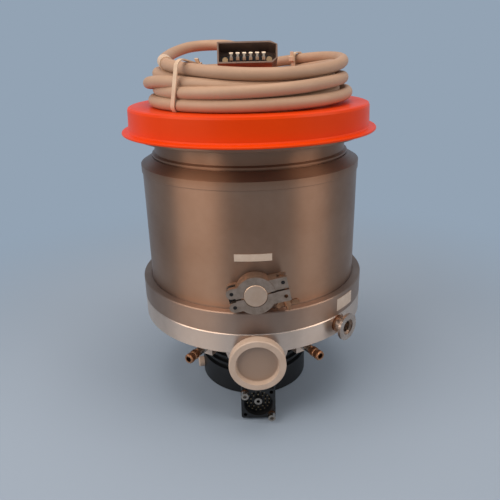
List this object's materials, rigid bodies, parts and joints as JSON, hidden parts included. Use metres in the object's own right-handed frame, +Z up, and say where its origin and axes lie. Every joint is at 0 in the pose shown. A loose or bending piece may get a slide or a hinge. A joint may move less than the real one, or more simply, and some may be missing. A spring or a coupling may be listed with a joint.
{
  "type": "turbomolecular pump",
  "caption": "Upright vacuum pump with a large bolted inlet flange under a protective cap, clamped vent port, capped exhaust, finned motor housing and coiled drive cable.",
  "frame": {"origin": "centre of the motor housing floor, on the table, on the pump axis", "axes": "+Z up along the rotor axis to the inlet, -Y towards the exhaust port, vent port and socket"},
  "size_m": [0.2804, 0.2902, 0.4066],
  "materials": {
    "aluminium": "machined",
    "black_anodised": "black anodised",
    "black_plastic": "moulded",
    "brass": "turned",
    "bright_aluminium": "bright turned",
    "cable_grey": "grey-beige jacket",
    "cage_plastic": "phenolic",
    "cast_aluminium": "fine cast, tumbled",
    "ceramic": "silicon nitride",
    "copper": "enamelled copper winding",
    "gold_plate": "plated contacts",
    "hood_metal": "grey-brown plated",
    "label_white": "printed film, left bare",
    "lamination": "stacked laminations",
    "magnet": "sintered",
    "nickel": "nickel plated",
    "orange_plastic": "soft gloss",
    "rubber": "black elastomer",
    "stainless": "bead-blasted stainless",
    "steel": "machined steel",
    "white_plastic": "translucent natural"
  },
  "bodies": {
    "pump_body": {"envelope": "stainless", "envelope_screws": "steel", "inlet_screen": "steel", "base_flange": "bright_aluminium", "base_oring": "rubber", "stator_discs": "aluminium", "spacer_rings": "aluminium", "drag_stator": "aluminium", "bearing_outer_races": "steel", "bearing_plate": "aluminium", "plate_screws": "steel", "motor_core": "lamination", "motor_windings": "copper", "motor_housing": "black_anodised", "housing_screws": "steel", "socket_block": "black_plastic", "socket_insert": "black_plastic", "socket_pins": "gold_plate", "socket_post": "nickel", "socket_washers": "brass", "socket_screws": "nickel", "exhaust_port": "stainless", "vent_port": "stainless", "vent_centring_ring": "stainless", "vent_oring": "rubber", "vent_blank": "stainless", "clamp_upper_half": "cast_aluminium", "clamp_lower_half": "cast_aluminium", "clamp_pin": "steel", "clamp_link": "steel", "purge_port": "stainless", "purge_collar": "brass", "water_bodies": "nickel", "water_nipples": "brass", "side_nipple": "nickel", "labels": "label_white"},
    "rotor": {"rotor_turbine": "aluminium", "rotor_shaft": "steel", "rotor_screw": "steel", "bearing_inner_races": "steel", "shaft_nut": "steel", "motor_magnet": "magnet"},
    "upper_cage": {"upper_bearing_balls": "ceramic", "upper_bearing_cage": "cage_plastic"},
    "lower_cage": {"lower_bearing_balls": "ceramic", "lower_bearing_cage": "cage_plastic"},
    "inlet_cap": {"inlet_cap": "orange_plastic"},
    "drive_cable": {"cable_coil": "cable_grey", "cable_lead": "cable_grey", "plug_lead": "cable_grey", "round_plug": "black_plastic", "connector_hood": "hood_metal", "connector_block": "black_plastic", "connector_blades": "gold_plate", "connector_screws": "brass"},
    "exhaust_cap": {"exhaust_cap": "white_plastic"},
    "side_cap": {"side_cap": "white_plastic"},
    "swing_bolt": {"clamp_swing_bolt": "brass"},
    "bolt_washer": {"clamp_washer": "nickel"},
    "wing_nut": {"clamp_wing_nut": "nickel"}
  },
  "joints": [
    {"name": "rotor_spin", "type": "hinge", "parent": "pump_body", "child": "rotor", "pos_m": [0, 0, 0.2], "axis": [0, 0, 1], "continuous": true},
    {"name": "upper_cage_spin", "type": "hinge", "parent": "pump_body", "child": "upper_cage", "pos_m": [0, 0, 0.1555], "axis": [0, 0, 1], "continuous": true},
    {"name": "lower_cage_spin", "type": "hinge", "parent": "pump_body", "child": "lower_cage", "pos_m": [0, 0, 0.0465], "axis": [0, 0, 1], "continuous": true},
    {"name": "inlet_cap_lift", "type": "slide", "parent": "pump_body", "child": "inlet_cap", "axis": [0, 0, 1], "range_m": [0, 0.12]},
    {"name": "drive_cable_lift", "type": "slide", "parent": "inlet_cap", "child": "drive_cable", "axis": [0, 0, 1], "range_m": [0, 0.1]},
    {"name": "exhaust_cap_pull", "type": "slide", "parent": "pump_body", "child": "exhaust_cap", "axis": [0, -1, 0], "range_m": [0, 0.06]},
    {"name": "side_cap_pull", "type": "slide", "parent": "pump_body", "child": "side_cap", "axis": [-0.9744, -0.225, 0], "range_m": [0, 0.02]},
    {"name": "clamp_bolt_swing", "type": "hinge", "parent": "pump_body", "child": "swing_bolt", "pos_m": [0.02912, -0.13351, 0.18346], "axis": [0.0175, -0.9998, 0], "range_deg": [0, 105]},
    {"name": "clamp_washer_slide", "type": "slide", "parent": "swing_bolt", "child": "bolt_washer", "axis": [0.2079, 0.0036, -0.9781], "range_m": [0, 0.005]},
    {"name": "wing_nut_turn", "type": "hinge", "parent": "bolt_washer", "child": "wing_nut", "pos_m": [0.03403, -0.13343, 0.16038], "axis": [0.2079, 0.0036, -0.9781], "range_deg": [0, 2260]}
  ],
  "couplings": [
    {"joint": "upper_cage_spin", "follows": "rotor_spin", "ratio": 0.40526},
    {"joint": "lower_cage_spin", "follows": "rotor_spin", "ratio": 0.40526},
    {"joint": "wing_nut_turn", "follows": "clamp_washer_slide", "rad_per_m": 7854}
  ]
}
